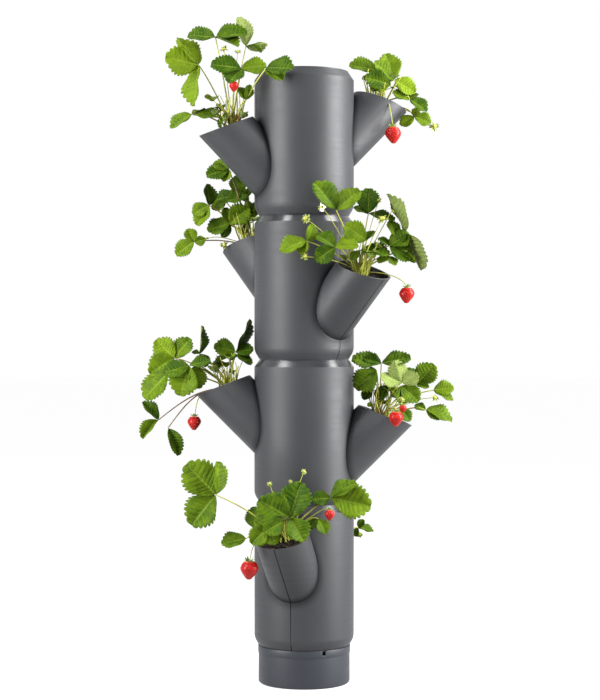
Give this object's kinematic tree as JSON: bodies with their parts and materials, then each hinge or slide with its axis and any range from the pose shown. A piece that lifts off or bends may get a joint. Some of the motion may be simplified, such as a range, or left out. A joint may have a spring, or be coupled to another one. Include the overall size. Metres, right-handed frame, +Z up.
{
  "type": "vertical planter tower",
  "caption": "Stackable round planter tower of four swivelling storeys with eight open pockets of strawberry plants, on a water cup.",
  "frame": {"origin": "centre of the water cup's underside, on the tower's axis", "axes": "+Z up along the tower's axis; the picture looks along +Y, with +X to its right"},
  "size_m": [0.5579, 0.4367, 1.1614],
  "materials": {
    "tower_plastic": "satin with a fine grain",
    "cup_plastic": "satin",
    "grid_plastic": "matte",
    "soil": "crumbly, matte",
    "leaf": "satin, lighter veins",
    "berry": "glossy, seeded"
  },
  "bodies": {
    "water_cup": {"water_cup": "cup_plastic"},
    "bottom_storey": {"bottom_left_half_shell": "tower_plastic", "bottom_right_half_shell": "tower_plastic", "bottom_floor_grid": "grid_plastic", "bottom_soil": "soil", "bottom_low_plant": "leaf", "bottom_high_plant": "leaf", "bottom_high_berries": "berry"},
    "lower_storey": {"lower_left_half_shell": "tower_plastic", "lower_right_half_shell": "tower_plastic", "lower_floor_grid": "grid_plastic", "lower_soil": "soil", "lower_low_plant": "leaf", "lower_low_berries": "berry", "lower_high_plant": "leaf", "lower_high_berries": "berry"},
    "upper_storey": {"upper_left_half_shell": "tower_plastic", "upper_right_half_shell": "tower_plastic", "upper_floor_grid": "grid_plastic", "upper_soil": "soil", "upper_low_plant": "leaf", "upper_low_berries": "berry", "upper_high_plant": "leaf"},
    "top_storey": {"top_left_half_shell": "tower_plastic", "top_right_half_shell": "tower_plastic", "top_floor_grid": "grid_plastic", "top_soil": "soil", "top_low_plant": "leaf", "top_low_berries": "berry", "top_high_plant": "leaf", "top_high_berries": "berry"},
    "lid": {"lid": "tower_plastic"}
  },
  "joints": [
    {"name": "bottom_swivel", "type": "hinge", "parent": "water_cup", "child": "bottom_storey", "pos_m": [0, 0, 0.064], "axis": [0, 0, 1], "continuous": true},
    {"name": "lower_swivel", "type": "hinge", "parent": "bottom_storey", "child": "lower_storey", "pos_m": [0, 0, 0.314], "axis": [0, 0, 1], "continuous": true, "deforming": ["bottom_low_plant", "bottom_high_plant"]},
    {"name": "upper_swivel", "type": "hinge", "parent": "lower_storey", "child": "upper_storey", "pos_m": [0, 0, 0.564], "axis": [0, 0, 1], "continuous": true, "deforming": ["lower_low_plant", "lower_high_plant"]},
    {"name": "top_swivel", "type": "hinge", "parent": "upper_storey", "child": "top_storey", "pos_m": [0, 0, 0.814], "axis": [0, 0, 1], "continuous": true, "deforming": ["upper_low_plant", "upper_high_plant"]},
    {"name": "lid_lift", "type": "slide", "parent": "top_storey", "child": "lid", "axis": [0, 0, 1], "range_m": [0, 0.03]}
  ]
}
